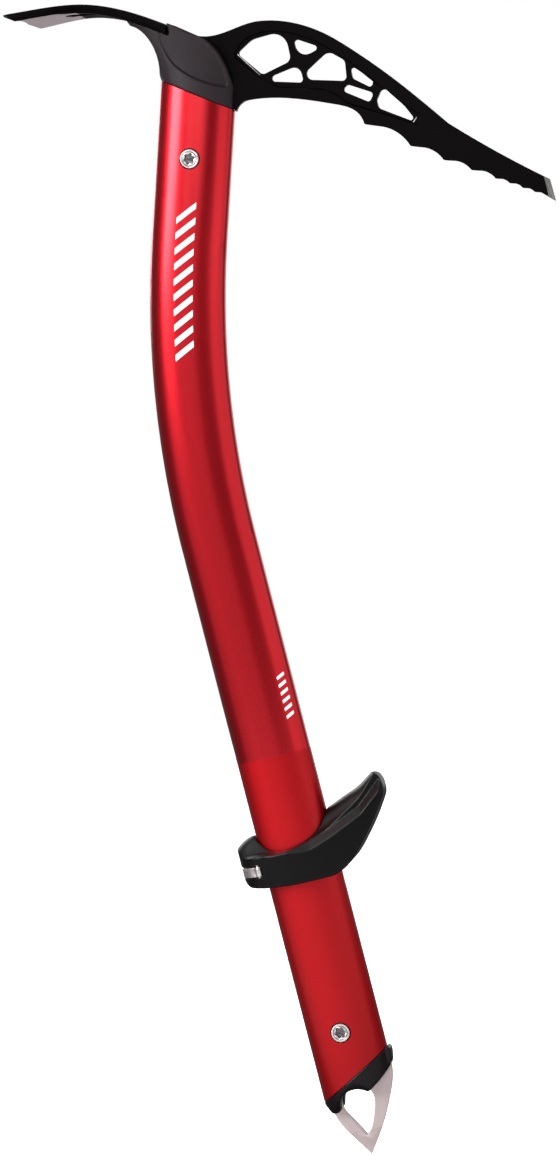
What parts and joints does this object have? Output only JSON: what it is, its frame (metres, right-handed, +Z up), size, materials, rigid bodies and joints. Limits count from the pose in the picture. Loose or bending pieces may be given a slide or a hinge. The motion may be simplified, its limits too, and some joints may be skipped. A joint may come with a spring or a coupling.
{
  "type": "ice axe",
  "caption": "Technical ice axe with a bent oval shaft, toothed pick, adze, sliding hand rest and a spike with a carabiner eye.",
  "frame": {"origin": "On the straight lower shaft's axis, inside the carabiner eye of the spike.", "axes": "+Z up the straight lower shaft to the head, +X towards the pick, Y across the thickness."},
  "size_m": [0.2027, 0.0452, 0.5085],
  "materials": {
    "anodised_red": "satin",
    "painted_steel": "gloss",
    "cover_plastic": "satin",
    "packing_plastic": "matte",
    "stainless": "satin",
    "black_plastic": "satin",
    "foam": "matte",
    "pad_rubber": "matte"
  },
  "bodies": {
    "axe": {"shaft_tube": "anodised_red", "head_forging": "painted_steel", "adze_blade": "painted_steel", "head_cover_near": "cover_plastic", "head_cover_far": "cover_plastic", "tang_sleeve": "packing_plastic", "spike_blade": "stainless", "spike_ferrule": "black_plastic", "spike_sleeve": "packing_plastic", "upper_foam_plug": "foam", "lower_foam_plug": "foam", "upper_barrel_nut": "stainless", "upper_screw": "stainless", "lower_barrel_nut": "stainless", "lower_screw": "stainless"},
    "hand_rest": {"handrest_body": "black_plastic", "handrest_hinge_pin": "stainless", "handrest_spring": "stainless", "handrest_brake_pad": "pad_rubber"},
    "lever": {"handrest_lever": "stainless"}
  },
  "joints": [
    {"name": "hand_rest_slide", "type": "slide", "parent": "axe", "child": "hand_rest", "axis": [0, 0, 1], "range_m": [-0.058, 0.12]},
    {"name": "lever_hinge", "type": "hinge", "parent": "hand_rest", "child": "lever", "pos_m": [-0.0166, -0.0119, 0.1104], "axis": [0, 0, 1], "range_deg": [0, 75]}
  ]
}
